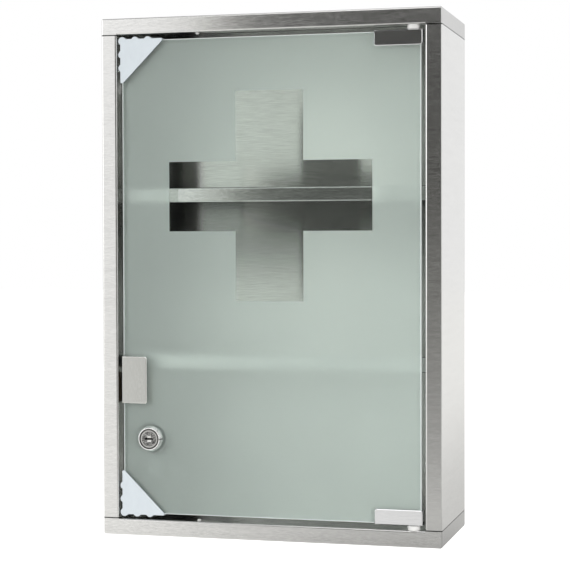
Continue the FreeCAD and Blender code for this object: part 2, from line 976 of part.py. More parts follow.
def main():
    """Write each node to its own file."""
    os.makedirs("parts", exist_ok=True)
    for name, make in NODES.items():
        shape = make()
        if not shape.isValid() or not shape.Solids:
            raise ValueError(f"{name} is not a valid solid")
        shape.exportStep(f"parts/{name}.step")
        volume = sum(solid.Volume for solid in shape.Solids)
        print(f"{name}: {len(shape.Solids)} solid(s), {volume:.1f} mm3")


main()
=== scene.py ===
"""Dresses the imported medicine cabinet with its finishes, in a plain studio.

Lengths are in metres in the part's own frame: X to the right, Y from the room to the
wall, Z up, with the origin under the middle of the cabinet.
"""

import logging
import math
from collections.abc import Iterable, Mapping
from dataclasses import dataclass, replace
from enum import Enum

import bmesh
import bpy
from mathutils import Matrix, Vector


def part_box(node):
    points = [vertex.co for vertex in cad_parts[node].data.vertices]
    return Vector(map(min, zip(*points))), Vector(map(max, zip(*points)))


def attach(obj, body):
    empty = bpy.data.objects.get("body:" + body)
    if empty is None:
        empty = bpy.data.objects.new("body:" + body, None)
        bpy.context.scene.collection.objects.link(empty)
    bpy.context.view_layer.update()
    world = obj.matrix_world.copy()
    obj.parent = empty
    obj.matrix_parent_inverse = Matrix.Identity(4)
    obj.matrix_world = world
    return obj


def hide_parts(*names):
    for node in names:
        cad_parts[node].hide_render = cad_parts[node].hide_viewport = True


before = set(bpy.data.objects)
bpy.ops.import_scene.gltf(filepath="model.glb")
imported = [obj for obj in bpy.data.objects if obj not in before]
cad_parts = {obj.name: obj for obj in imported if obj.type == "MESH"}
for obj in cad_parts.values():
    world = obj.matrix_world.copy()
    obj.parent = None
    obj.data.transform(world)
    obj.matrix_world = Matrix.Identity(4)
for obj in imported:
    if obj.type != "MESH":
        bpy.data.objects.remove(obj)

log = logging.getLogger("cabinet")

MM = 0.001
MIDDLE_HEIGHT = 225.0 * MM
LOCK_AXIS = (-107.0 * MM, 84.7 * MM)
PICTURE_SIDE = 570
FACING = 0.7  # cosine above which a face counts as looking along an axis
FLAT = 0.96  # the same for a flat, which leaves out the roundings beside it
HALF = 0.5
WHITE = (1.0, 1.0, 1.0)
STOOD_UP = Matrix.Rotation(math.radians(90.0), 4, "X")

Colour = tuple[float, float, float]
Place = tuple[float, float, float]
Span = tuple[float, float]
Ramp = tuple[Span, Span]  # two points of a curve, each a place and the level there
Material = bpy.types.Material
Socket = bpy.types.NodeSocket
Value = float | tuple[float, ...] | Socket


class Grain(Enum):
    """Way in which a sheet was brushed, as the number of its axis."""

    CROSSWISE = 0
    DEEP = 1
    UPRIGHT = 2


class Faces(Enum):
    """Faces of a sheet where light and shade are painted."""

    NONE = 0
    # inner walls, with painted shade
    INWARD = 1
    # undersides, with painted shade
    UNDER = 2
    # the cabinet's inner floor, with painted light
    FLOOR = 3
    # roundings, with painted highlights
    EDGES = 4


class Mixed(Enum):
    """What a mix node mixes: its data type, the first of its two inputs, and its output."""

    LEVEL = ("FLOAT", 2, 0)
    VECTOR = ("VECTOR", 4, 1)
    COLOUR = ("RGBA", 6, 2)


def scaled(colour: Colour, share: float) -> Colour:
    """Colour made darker or lighter."""
    return tuple(min(1.0, channel * share) for channel in colour)


# ---- node trees ----


class NodeSheet:
    """Node tree that is built a node at a time."""

    def __init__(self, tree: bpy.types.NodeTree) -> None:
        """Start with an empty tree."""
        self.tree = tree
        self.tree.nodes.clear()

    def add(
        self, kind: str, values: Mapping[str | int, Value] | None = None, **settings: object
    ) -> bpy.types.Node:
        """Add a node and fill its sockets.

        Args:
            kind: the node's type.
            values: what goes into each input, a constant or another node's output.
            settings: the node's own options.

        Returns:
            The new node.
        """
        node = self.tree.nodes.new(kind)
        for option, setting in settings.items():
            setattr(node, option, setting)
        for key, value in (values or {}).items():
            socket = node.inputs[key]
            if isinstance(value, Socket):
                self.tree.links.new(value, socket)
            else:
                socket.default_value = (*value, 1.0) if socket.type == "RGBA" else value
        return node

    def maths(self, operation: str, *values: Value) -> Socket:
        """Add one step of arithmetic and return its result."""
        return self.add("ShaderNodeMath", dict(enumerate(values)), operation=operation).outputs[0]

    def ray(self, fact: str) -> Socket:
        """Fact about the ray that asks, such as its depth."""
        return self.add("ShaderNodeLightPath").outputs[fact]

    def parts(self, vector: Socket) -> bpy.types.NodeOutputs:
        """Parts X, Y and Z of a vector."""
        return self.add("ShaderNodeSeparateXYZ", {0: vector}).outputs

    def axes(self, kind: str) -> bpy.types.NodeOutputs:
        """Parts of a coordinate: "Object", "Normal" or "Generated"."""
        return self.parts(self.add("ShaderNodeTexCoord").outputs[kind])

    def mix(self, share: Value, one: Value, other: Value, what: Mixed = Mixed.LEVEL) -> Socket:
        """Mix two values.

        Args:
            share: share of the second.
            one: first value.
            other: second value.
            what: what kind of value they are.

        Returns:
            The mixed value.
        """
        data_type, first, output = what.value
        values = {0: share, first: one, first + 1: other}
        return self.add("ShaderNodeMix", values, data_type=data_type).outputs[output]

    def over(self, mask: Socket, under: Value, top: Value) -> Socket:
        """One colour laid over another where a mask says so."""
        return self.mix(mask, under, top, Mixed.COLOUR)

    def ramp(self, value: Value, ramp: Ramp, curve: str = "SMOOTHSTEP") -> Socket:
        """Level that runs from one value to another.

        Args:
            value: what it depends on.
            ramp: where it starts and ends, and the levels there.
            curve: the way in which it runs between them.

        Returns:
            The level.
        """
        (start, low), (end, high) = ramp
        ends = {"From Min": start, "From Max": end, "To Min": low, "To Max": high}
        fitted = self.add("ShaderNodeMapRange", {"Value": value, **ends}, interpolation_type=curve)
        return fitted.outputs[0]


class ShaderSheet(NodeSheet):
    """Node tree of one material."""

    front_returns = -44.0 * MM
    floor_height = 100.0 * MM
    valleys, peaks = 0.3, 0.7
    along_tangent = 0.25

    def __init__(self, name: str) -> None:
        """Start an empty material.

        Args:
            name: name of the material.
        """
        self.material = bpy.data.materials.new(name)
        self.material.use_nodes = True
        super().__init__(self.material.node_tree)
        self.output = self.add("ShaderNodeOutputMaterial")
        self.place = self.add("ShaderNodeTexCoord").outputs["Object"]

    def noise(self, cell: Place | float, detail: float = 2.0, roughness: float = 0.5) -> Socket:
        """Cloudy pattern whose patches have a given size.

        Args:
            cell: size of a patch, the same all ways or along X, Y and Z.
            detail: number of finer layers.
            roughness: share of the finer layers.

        Returns:
            The pattern, mostly between its valleys and its peaks.
        """
        sides = cell if isinstance(cell, tuple) else (cell,) * 3
        scale = tuple(1.0 / side for side in sides)
        mapped = self.add("ShaderNodeMapping", {"Vector": self.place, "Scale": scale}).outputs[0]
        layers = {"Scale": 1.0, "Detail": detail, "Roughness": roughness}
        return self.add("ShaderNodeTexNoise", {"Vector": mapped, **layers}).outputs[0]

    def span(self, pattern: Socket, low: float, high: float) -> Socket:
        """Stretch a noise pattern, from one value in its valleys to another on its peaks."""
        return self.ramp(pattern, ((self.valleys, low), (self.peaks, high)), curve="LINEAR")

    def shades(self, pattern: Socket, colour: Colour, low: float, high: float) -> Socket:
        """Colour of which a noise pattern's valleys have one share and its peaks another."""
        ends = (scaled(colour, low), scaled(colour, high))
        return self.mix(self.span(pattern, 0.0, 1.0), *ends, Mixed.COLOUR)

    def bump(self, height: Socket, depth: float, strength: float = 1.0) -> Socket:
        """Normal for a pattern pressed into the surface, with a share of its effect."""
        values = {"Height": height, "Distance": depth, "Strength": strength}
        return self.add("ShaderNodeBump", values).outputs[0]

    def end_faces(self, grain: Grain) -> Socket:
        """One on the faces that look along the brushing, and nought on the rest."""
        along = self.maths("ABSOLUTE", self.axes("Normal")[grain.value])
        return self.maths("GREATER_THAN", along, FACING)

    def light_and_shade_faces(self, faces: Faces) -> Socket:
        """One on the faces of a sheet where light and shade are painted, and nought on the rest.

        Args:
            faces: the faces.

        Returns:
            The mask.
        """
        normal = self.axes("Normal")
        if faces is Faces.UNDER:
            return self.maths("LESS_THAN", normal["Z"], -FACING)
        if faces is Faces.EDGES:
            return self.maths("LESS_THAN", self.maths("ABSOLUTE", normal["Y"]), FLAT)
        place = self.axes("Object")
        inner = self.maths("GREATER_THAN", place["Y"], self.front_returns)
        if faces is Faces.FLOOR:
            low = self.maths("LESS_THAN", place["Z"], self.floor_height)
            upward = self.maths("GREATER_THAN", normal["Z"], FACING)
            return self.maths("MULTIPLY", self.maths("MULTIPLY", upward, low), inner)
        outward = self.maths("MULTIPLY", self.maths("SIGN", place["X"]), normal["X"])
        return self.maths("MULTIPLY", self.maths("LESS_THAN", outward, -FACING), inner)

    def from_plane(self, axis: str, middle: float) -> Socket:
        """Distance from the plane that crosses an axis at its middle."""
        return self.maths("ABSOLUTE", self.maths("SUBTRACT", self.axes("Object")[axis], middle))

    def beyond(self, axis: str, middle: float, distance: float) -> Socket:
        """One further than a distance from a plane, and nought near it."""
        return self.maths("GREATER_THAN", self.from_plane(axis, middle), distance)

    def radius(self, centre: Span) -> Socket:
        """Distance from an axis along Y.

        Args:
            centre: the axis's X and Z.

        Returns:
            The distance.
        """
        place = self.axes("Object")
        legs = (self.maths("SUBTRACT", place[axis], at) for axis, at in zip("XZ", centre))
        squares = self.maths("ADD", *(self.maths("POWER", leg, 2.0) for leg in legs))
        return self.maths("SQRT", squares)

    def under(self, top: float, full: float, reach: float) -> Socket:
        """Mask of a painted shadow: one just under a level on the faces that look forward, fading
        to nought further down.

        Args:
            top: the level.
            full: distance below it where the fading starts.
            reach: distance below it where nothing is left.

        Returns:
            The mask.
        """
        height = self.axes("Object")["Z"]
        faded = self.ramp(height, ((top - reach, 0.0), (top - full, 1.0)))
        forward = self.maths("LESS_THAN", self.axes("Normal")["Y"], -FACING)
        below = self.maths("MULTIPLY", forward, self.maths("LESS_THAN", height, top))
        return self.maths("MULTIPLY", faded, below)

    def brush(self, grain: Grain, at_ends: Grain) -> Socket:
        """Turn the pattern's coordinates on end faces, so that its lines run across them.

        Args:
            grain: way in which the sheet was brushed.
            at_ends: way in which the lines run on the faces that look along the grain.

        Returns:
            The direction of the lines in the world, which turns with the object.
        """
        ends = self.end_faces(grain)
        parts = self.parts(self.place)
        order = [0, 1, 2]
        order[grain.value], order[at_ends.value] = at_ends.value, grain.value
        turned = {i: parts[axis] for i, axis in enumerate(order)}
        swapped = self.add("ShaderNodeCombineXYZ", turned).outputs[0]
        self.place = self.mix(ends, self.place, swapped, Mixed.VECTOR)
        ways = (tuple(float(axis == way.value) for axis in range(3)) for way in (grain, at_ends))
        return self.add(
            "ShaderNodeVectorTransform",
            {0: self.mix(ends, *ways, Mixed.VECTOR)},
            vector_type="VECTOR",
            convert_from="OBJECT",
            convert_to="WORLD",
        ).outputs[0]

    def send(self, shader: Socket) -> Material:
        """Send a shader to the output and return the material."""
        self.tree.links.new(shader, self.output.inputs["Surface"])
        return self.material

    def mix_shaders(self, share: Socket, one: Socket, other: Socket) -> Socket:
        """One shader or another, by a share."""
        return self.add("ShaderNodeMixShader", {0: share, 1: one, 2: other}).outputs[0]

    def cover(self, values: Mapping[str, Value], passed: Colour | None = None) -> Material:
        """Cover the surface with a Principled shader.

        Args:
            values: what goes into the shader's sockets.
            passed: for glass, the share of the lamps' light that passes one face.

        Returns:
            The material.
        """
        shader = self.add("ShaderNodeBsdfPrincipled", values).outputs[0]
        if passed is not None:
            clear = self.add("ShaderNodeBsdfTransparent", {"Color": passed}).outputs[0]
            shader = self.mix_shaders(self.ray("Is Shadow Ray"), shader, clear)
        return self.send(shader)


# ---- finishes ----


@dataclass(frozen=True)
class BrushedSteel:
    """Stainless sheet with brushing lines that stretch its reflections."""

    name: str
    grain: Grain
    at_ends: Grain = Grain.DEEP
    colour: Colour = (0.74, 0.737, 0.725)
    shades: Span = (0.84, 1.16)
    roughness: Span = (0.15, 0.25)
    anisotropy: float = 0.7
    line_width: float = 0.7 * MM
    line_length: float = 5.0 * MM
    broad_times: Span = (6.0, 8.0)
    broad_share: float = 0.25
    handling: Place = (0.09, 0.09, 0.12)
    handling_share: float = 0.3
    depth: float = 0.005 * MM
    # Faces where light and shade are painted, and the share of the colour that they get.
    other: Faces = Faces.NONE
    light_and_shade_share: float = 0.2
    # Share of the colour on the end faces, which paints shade on them.
    end_shade_share: float = 1.0
    seam: float | None = None
    seam_share: float = 0.1
    # A painted shadow under a shelf: its top, where its fading starts and ends, and its share.
    shelf_shadow_top: float | None = None
    shelf_shadow_full: float = 35.0 * MM
    shelf_shadow_reach: float = 95.0 * MM
    shelf_shadow_share: float = 0.53

    def cell(self, wider: float = 1.0, longer: float = 1.0) -> Place:
        """Size of a patch of the brushing.

        Args:
            wider: its width, in widths of a line.
            longer: its length, in lengths of a line.

        Returns:
            Its size along X, Y and Z.
        """
        sides = [wider * self.line_width] * 3
        sides[self.grain.value] = longer * self.line_length
        return tuple(sides)

    def colours(self, sheet: ShaderSheet, streaks: Socket) -> Socket:
        """Colour of the sheet, with painted light and shade on some faces, a painted shelf shadow,
        and dark joints at its ends.

        Args:
            sheet: the material.
            streaks: pattern of the brushing.

        Returns:
            The colour.
        """
        masks = []
        if self.end_shade_share != 1.0:
            masks.append((sheet.end_faces(self.grain), self.end_shade_share))
        if self.other is not Faces.NONE:
            masks.append((sheet.light_and_shade_faces(self.other), self.light_and_shade_share))
        # Painted shadow under a shelf.
        if self.shelf_shadow_top is not None:
            shaded = sheet.under(self.shelf_shadow_top, self.shelf_shadow_full, self.shelf_shadow_reach)
            masks.append((shaded, self.shelf_shadow_share))
        low, high = (scaled(self.colour, share) for share in self.shades)
        whole = sheet.span(streaks, 0.0, 1.0)
        colour = sheet.over(whole, low, high)
        # Lighter and darker copies of the colour paint light and shade on the masked faces.
        for mask, share in masks:
            light_and_shade_colour = sheet.over(whole, scaled(low, share), scaled(high, share))
            colour = sheet.over(mask, colour, light_and_shade_colour)
        if self.seam is not None:
            joint = sheet.beyond("Z", MIDDLE_HEIGHT, self.seam)
            colour = sheet.over(joint, colour, scaled(self.colour, self.seam_share))
        return colour

    def material(self) -> Material:
        """Build the material of the sheet.

        Returns:
            The material.
        """
        sheet = ShaderSheet(self.name)
        direction = sheet.brush(self.grain, self.at_ends)
        lines = sheet.noise(self.cell(), detail=3.0, roughness=0.6)
        broad = sheet.noise(self.cell(*self.broad_times), detail=3.0)
        streaks = sheet.mix(self.broad_share, lines, broad)
        rough = sheet.mix(self.handling_share, streaks, sheet.noise(self.handling))
        return sheet.cover(
            {
                "Base Color": self.colours(sheet, streaks),
                "Metallic": 1.0,
                "Roughness": sheet.span(rough, *self.roughness),
                "Anisotropic": self.anisotropy,
                "Anisotropic Rotation": sheet.along_tangent,
                "Tangent": direction,
                "Normal": sheet.bump(streaks, self.depth),
            }
        )


@dataclass(frozen=True)
class ClearGlass:
    """Float glass with a faint green body and a slightly wavy surface."""

    name: str
    body: Colour = (0.925, 0.965, 0.948)
    roughness: Span = (0.0, 0.012)
    index: float = 1.5
    gloss: float = 0.05
    smear: Place = (0.02, 0.02, 0.05)
    wave: float = 45.0 * MM
    wave_depth: float = 0.004 * MM
    passed: float = 0.98

    def material(self) -> Material:
        """Build the material of the pane.

        Returns:
            The material.
        """
        sheet = ShaderSheet(self.name)
        return sheet.cover(
            {
                "Base Color": self.body,
                "Roughness": sheet.span(sheet.noise(self.smear, detail=3.0), *self.roughness),
                "IOR": self.index,
                "Specular Tint": (self.gloss,) * 3,
                "Transmission Weight": 1.0,
                "Normal": sheet.bump(sheet.noise(self.wave, detail=1.0), self.wave_depth),
            },
            passed=scaled(self.body, self.passed),
        )


@dataclass(frozen=True)
class Varied:
    """Surface that a fine and a broad pattern make darker and lighter, smoother and rougher."""

    name: str
    colour: Colour
    roughness: Span
    shades: Span = (0.96, 1.04)
    fine: float = 0.4 * MM
    fine_detail: float = 3.0
    fine_roughness: float = 0.6
    broad: Place | float = 6.0 * MM
    broad_detail: float = 2.0
    broad_share: float = 0.5
    depth: float = 0.0
    relief: float = 1.0
    passed: float | None = None

    def sockets(self) -> Mapping[str, Value]:
        """What else its kind of surface needs in the shader."""
        return {}

    def material(self) -> Material:
        """Build the material of the surface.

        Returns:
            The material.
        """
        sheet = ShaderSheet(self.name)
        fine = sheet.noise(self.fine, self.fine_detail, self.fine_roughness)
        mixed = sheet.mix(self.broad_share, fine, sheet.noise(self.broad, self.broad_detail))
        values = {
            "Base Color": sheet.shades(mixed, self.colour, *self.shades),
            "Roughness": sheet.span(mixed, *self.roughness),
            **self.sockets(),
        }
        if self.depth:
            values["Normal"] = sheet.bump(fine, self.depth, self.relief)
        passed = None if self.passed is None else scaled(self.colour, self.passed)
        return sheet.cover(values, passed)


@dataclass(frozen=True)
class CloudyGlass(Varied):
    """Glass with a matt surface that scatters what is behind it."""

    clearness: float = 1.0
    index: float = 1.5

    def sockets(self) -> Mapping[str, Value]:
        """What glass needs in the shader."""
        return {"IOR": self.index, "Transmission Weight": self.clearness}


@dataclass(frozen=True)
class MouldedPlastic(Varied):
    """Moulded plastic with a fine eroded texture and a soft sheen."""

    roughness: Span = (0.3, 0.42)
    shades: Span = (0.96, 1.03)
    fine: float = 0.3 * MM
    broad: Place = (6.0 * MM, 6.0 * MM, 14.0 * MM)
    depth: float = 0.01 * MM
    relief: float = 0.6
    milkiness: float = 0.0
    milk_depth: float = 0.8 * MM

    def sockets(self) -> Mapping[str, Value]:
        """What a milky moulding needs in the shader.

        Returns:
            The sockets, with what goes into each.
        """
        return {
            "Subsurface Weight": self.milkiness,
            "Subsurface Radius": WHITE,
            "Subsurface Scale": self.milk_depth,
        }


@dataclass(frozen=True)
class PlatedMetal(Varied):
    """Bright plated or turned metal with a fine texture of its own."""

    fine_detail: float = 4.0
    fine_roughness: float = 0.65
    broad: Place = (3.0 * MM, 3.0 * MM, 5.0 * MM)
    broad_share: float = 0.4
    depth: float = 0.002 * MM

    def sockets(self) -> Mapping[str, Value]:
        """What metal needs in the shader."""
        return {"Metallic": 1.0}


@dataclass(frozen=True)
class PlugFace:
    """Face of the lock's plug: grained disc in turned rings, with painted highlights at the slot.
    """

    name: str
    light: Colour = (0.46, 0.46, 0.45)
    # Turned rings, of which the outermost, black one is painted shade in the groove round the
    # plug.
    rings: tuple[tuple[float, Colour], ...] = (
        (6.6 * MM, (0.6, 0.6, 0.585)),
        (7.2 * MM, (0.3, 0.3, 0.29)),
        (7.95 * MM, (0.0, 0.0, 0.0)),
    )
    # Painted highlights above and below the slot.
    slot_highlight_colour: Colour = (0.8, 0.8, 0.78)
    slot_highlight_width: float = 1.8 * MM
    slot_highlight_height: float = 2.7 * MM
    slot_half: float = 0.85 * MM
    grit: float = 1.25 * MM
    fine: float = 0.2 * MM
    fine_share: float = 0.15
    roughness: Span = (0.24, 0.36)
    depth: float = 0.05 * MM
    relief: float = 0.6

    def material(self) -> Material:
        """Build the material of the plug.

        Returns:
            The material.
        """
        sheet = ShaderSheet(self.name)
        fine = sheet.noise(self.fine, detail=3.0)
        mixed = sheet.mix(self.fine_share, sheet.noise(self.grit, detail=1.0), fine)
        shade = sheet.shades(mixed, self.light, 0.0, 1.0)
        away = sheet.radius(LOCK_AXIS)
        # The last ring paints the groove's shade.
        for inner, colour in self.rings:
            shade = sheet.over(sheet.maths("GREATER_THAN", away, inner), shade, colour)
        # Painted highlights above and below the slot.
        off_x = sheet.beyond("X", LOCK_AXIS[0], self.slot_highlight_width)
        off_z = sheet.beyond("Z", LOCK_AXIS[1], self.slot_highlight_height)
        slot_highlights = sheet.maths("LESS_THAN", sheet.maths("ADD", off_x, off_z), HALF)
        past_slot = sheet.beyond("Z", LOCK_AXIS[1], self.slot_half)
        shade = sheet.over(sheet.maths("MULTIPLY", slot_highlights, past_slot), shade, self.slot_highlight_colour)
        return sheet.cover(
            {
                "Base Color": shade,
                "Metallic": 1.0,
                "Roughness": sheet.span(fine, *self.roughness),
                "Normal": sheet.bump(mixed, self.depth, self.relief),
            }
        )


@dataclass(frozen=True)
class BezelChrome:
    """Chrome of the lock's bezel, with its index line and painted shade in the gap round the plug.
    """

    name: str
    colour: Colour = (0.95, 0.95, 0.95)
    shades: Span = (0.93, 1.04)
    roughness: Span = (0.05, 0.12)
    smear: float = 1.5 * MM
    depth: float = 0.001 * MM
    gap: float = 8.85 * MM
    # Painted shade in the gap round the plug; the index line has the same colour.
    gap_shade_and_line_colour: Colour = (0.03, 0.03, 0.03)
    line_start: float = 9.3 * MM
    line_half: float = 0.4 * MM
    deepest: float = -55.0 * MM

    def material(self) -> Material:
        """Build the material of the bezel.

        Returns:
            The material.
        """
        sheet = ShaderSheet(self.name)
        smears = sheet.noise(self.smear, detail=3.0)
        place = sheet.axes("Object")
        front = sheet.maths("LESS_THAN", place["Y"], self.deepest)
        # Painted shade in the gap round the plug, on the front.
        gap_shade = sheet.maths("LESS_THAN", sheet.radius(LOCK_AXIS), self.gap)
        right = sheet.maths("GREATER_THAN", place["X"], LOCK_AXIS[0] + self.line_start)
        level = sheet.maths("LESS_THAN", sheet.from_plane("Z", LOCK_AXIS[1]), self.line_half)
        line = sheet.maths("MULTIPLY", right, level)
        gap_shade_and_line = sheet.maths("MULTIPLY", front, sheet.maths("MAXIMUM", gap_shade, line))
        shade = sheet.shades(smears, self.colour, *self.shades)
        return sheet.cover(
            {
                "Base Color": sheet.over(gap_shade_and_line, shade, self.gap_shade_and_line_colour),
                "Metallic": 1.0,
                "Roughness": sheet.span(smears, *self.roughness),
                "Normal": sheet.bump(smears, self.depth),
            }
        )


# The caps get painted light on the cabinet's inner floor and painted shade on their end faces.
CAP_STEEL = BrushedSteel(
    "cap_steel",
    Grain.CROSSWISE,
    at_ends=Grain.UPRIGHT,
    shades=(0.87, 1.13),
    line_width=0.6 * MM,
    depth=0.003 * MM,
    other=Faces.FLOOR,
    light_and_shade_share=1.3,
    end_shade_share=0.83,
)
# The side panels get painted shade on their inner walls.
SIDE_STEEL = BrushedSteel(
    "side_steel",
    Grain.CROSSWISE,
    shades=(0.91, 1.09),
    line_width=0.6 * MM,
    depth=0.003 * MM,
    other=Faces.INWARD,
    light_and_shade_share=0.13,
    seam=MIDDLE_HEIGHT - 15.0 * MM,
)
# The shelves get painted shade on their undersides.
SHELF_STEEL = BrushedSteel(
    "shelf_steel",
    Grain.CROSSWISE,
    colour=(0.7, 0.695, 0.68),
    roughness=(0.15, 0.23),
    anisotropy=0.8,
    other=Faces.UNDER,
)
# The lower shelf's steel is drawn lighter than the upper's, which is painted light.
LIT_LOWER_SHELF_STEEL = replace(SHELF_STEEL, name="lit_lower_shelf_steel", colour=(0.95, 0.945, 0.93))
# The back panel gets a painted shadow under the upper shelf.
BACK_STEEL = BrushedSteel(
    "back_steel",
    Grain.CROSSWISE,
    colour=(0.86, 0.85, 0.83),
    shades=(0.88, 1.12),
    roughness=(0.15, 0.21),
    anisotropy=0.88,
    line_width=0.5 * MM,
    line_length=14.0 * MM,
    broad_share=0.1,
    depth=0.014 * MM,
    shelf_shadow_top=297.0 * MM,
)
FOLDED_STEEL = BrushedSteel("folded_steel", Grain.DEEP, at_ends=Grain.UPRIGHT)
# The clip gets painted highlights on its roundings.
CLIP_STEEL = BrushedSteel(
    "clip_steel",
    Grain.UPRIGHT,
    colour=(0.56, 0.565, 0.545),
    shades=(0.92, 1.08),
    anisotropy=0.5,
    line_width=0.5 * MM,
    line_length=2.5 * MM,
    other=Faces.EDGES,
    light_and_shade_share=1.65,
)
HINGE_STEEL = BrushedSteel(
    "hinge_steel",
    Grain.CROSSWISE,
    colour=(0.93, 0.935, 0.95),
    shades=(0.94, 1.06),
    roughness=(0.1, 0.16),
    anisotropy=0.3,
    line_length=6.0 * MM,
)
PIN_STEEL = PlatedMetal("turned_steel", (0.62, 0.62, 0.61), (0.19, 0.25))
POLE_STEEL = PlatedMetal("pole_steel", (0.5, 0.5, 0.49), (0.31, 0.37), shades=(0.92, 1.08))
CHROME = PlatedMetal("chrome", (0.86, 0.86, 0.86), (0.04, 0.1), depth=0.0006 * MM)
CAM_ZINC = PlatedMetal(
    "cam_zinc", (0.22, 0.225, 0.23), (0.3, 0.36), shades=(0.92, 1.08), fine=1.6 * MM
)
PLUG_METAL = PlugFace("plug_metal")
BEZEL_CHROME = BezelChrome("bezel_chrome")
PANE_GLASS = ClearGlass("pane_glass")
GROUND_EDGE = CloudyGlass(
    "ground_edge",
    colour=(0.93, 0.99, 0.965),
    roughness=(0.42, 0.58),
    shades=(0.93, 1.04),
    fine=0.3 * MM,
    passed=0.5,
    clearness=0.2,
)
FROSTING = CloudyGlass(
    "frosting",
    colour=(0.944, 0.97, 0.956),
    roughness=(0.56, 0.64),
    shades=(0.97, 1.02),
    fine=0.25 * MM,
    fine_detail=2.0,
    fine_roughness=0.5,
    broad=50.0 * MM,
    broad_detail=3.0,
    broad_share=0.6,
    passed=0.4,
    clearness=0.67,
    index=1.4,
)
NYLON = MouldedPlastic("white_nylon", (0.7, 0.7, 0.685), milkiness=0.25)
GUARD_PLASTIC = MouldedPlastic("guard_plastic", (0.67, 0.725, 0.765), (0.25, 0.37), milkiness=0.3)
CATCH_PLASTIC = MouldedPlastic("catch_plastic", (0.24, 0.16, 0.08), (0.37, 0.49))
GASKET = MouldedPlastic("gasket", (0.5, 0.52, 0.51), (0.45, 0.57), milkiness=0.2)
RUBBER = MouldedPlastic("black_rubber", (0.035, 0.035, 0.037), (0.55, 0.67), depth=0.02 * MM)
FERRITE = MouldedPlastic("ferrite", (0.06, 0.058, 0.055), (0.5, 0.62), depth=0.03 * MM)


# ---- meshes ----


def add_object(name: str, data: bpy.types.ID) -> bpy.types.Object:
    """Add an object to the scene.

    Args:
        name: name of the object.
        data: its mesh, lamp or camera.

    Returns:
        The object.
    """
    thing = bpy.data.objects.new(name, data)
    bpy.context.scene.collection.objects.link(thing)
    return thing


class Workpiece:
    """Mesh that bmesh operators shape before it becomes a piece."""

    weld_distance = 0.002 * MM
    level_angle = math.radians(0.5)
    sharp_angle = math.radians(35.0)
    crease_angle = math.radians(50.0)

    def __init__(self, node: str, copied: bool = True) -> None:
        """Start with a node's mesh, its triangles joined to whole flats, or with nothing.

        Args:
            node: name of the node that the piece stands for.
            copied: whether the node's mesh is copied.
        """
        self.node = node
        self.mesh = bmesh.new()
        if copied:
            self.mesh.from_mesh(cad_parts[node].data)
            verts, edges = self.mesh.verts, self.mesh.edges
            bmesh.ops.remove_doubles(self.mesh, verts=verts, dist=self.weld_distance)
            bmesh.ops.dissolve_limit(
                self.mesh, angle_limit=self.level_angle, verts=verts, edges=edges
            )

    def bevel(self, chosen: list, size: float, segments: int, **options: object) -> None:
        """Round some edges, or corners where the options say so.

        Args:
            chosen: the edges or corners.
            size: size of the rounding.
            segments: faces across it.
            options: what else the operator is told.
        """
        settings = {"offset_type": "OFFSET", "affect": "EDGES", "profile": HALF, "material": -1}
        settings.update(options)
        bmesh.ops.bevel(self.mesh, geom=chosen, offset=size, segments=segments, **settings)

    def ease(self, radius: float, segments: int = 2) -> "Workpiece":
        """Round every sharp edge.

        Args:
            radius: size of the rounding.
            segments: faces across it.

        Returns:
            The same piece.
        """
        sharp = [
            edge
            for edge in self.mesh.edges
            if len(edge.link_faces) == 2 and edge.calc_face_angle(0.0) > self.sharp_angle
        ]
        self.bevel(sharp, radius, segments, clamp_overlap=True)
        return self

    def outline(self, loop: Iterable[Place]) -> None:
        """Add a closed line of straight edges.

        Args:
            loop: its corners, in order.
        """
        corners = [self.mesh.verts.new(corner) for corner in loop]
        for start, end in zip(corners, corners[1:] + corners[:1]):
            self.mesh.edges.new((start, end))

    def fill_and_thicken(self, thickness: float) -> None:
        """Fill the area between the loops drawn so far and thicken it towards +Y.

        Args:
            thickness: how thick it becomes.
        """
        bmesh.ops.triangle_fill(
            self.mesh, use_beauty=True, edges=self.mesh.edges, normal=(0, -1, 0)
        )
        swept = bmesh.ops.extrude_face_region(self.mesh, geom=self.mesh.faces[:])
        moved = [item for item in swept["geom"] if isinstance(item, bmesh.types.BMVert)]
        bmesh.ops.translate(self.mesh, vec=(0, thickness, 0), verts=moved)
        bmesh.ops.recalc_face_normals(self.mesh, faces=self.mesh.faces)

    def finish(
        self, name: str, body: str, material: Material, slot: str, rounded: bool = True
    ) -> bpy.types.Object:
        """Turn the mesh into a piece that stands for its node.

        Args:
            name: name of the piece.
            body: body that it moves with.
            material: its finish.
            slot: material slot of the record that it takes its finish from; not used.
            rounded: whether its roundings are shaded smoothly, with the flats left flat.

        Returns:
            The piece.
        """
        data = bpy.data.meshes.new(name)
        self.mesh.to_mesh(data)
        self.mesh.free()
        data.materials.append(material)
        piece = add_object(name, data)
        if rounded:
            data.polygons.foreach_set("use_smooth", [True] * len(data.polygons))
            data.set_sharp_from_angle(angle=self.crease_angle)
            flats = piece.modifiers.new("flats", "WEIGHTED_NORMAL")
            flats.mode = "FACE_AREA"
            flats.keep_sharp = True
        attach(piece, body)
        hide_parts(self.node)
        log.info("%s: %d faces, rides on %s", name, len(data.polygons), body)
        return piece


def dress(nodes: Iterable[str], material: Material) -> None:
    """Give nodes that stay as they are their finish.

    Args:
        nodes: names of the nodes.
        material: the finish.
    """
    for node in nodes:
        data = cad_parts[node].data
        data.materials.clear()
        data.materials.append(material)
        log.info("%s: keeps its own mesh, in %s", node, material.name)


# ---- sub-assemblies ----


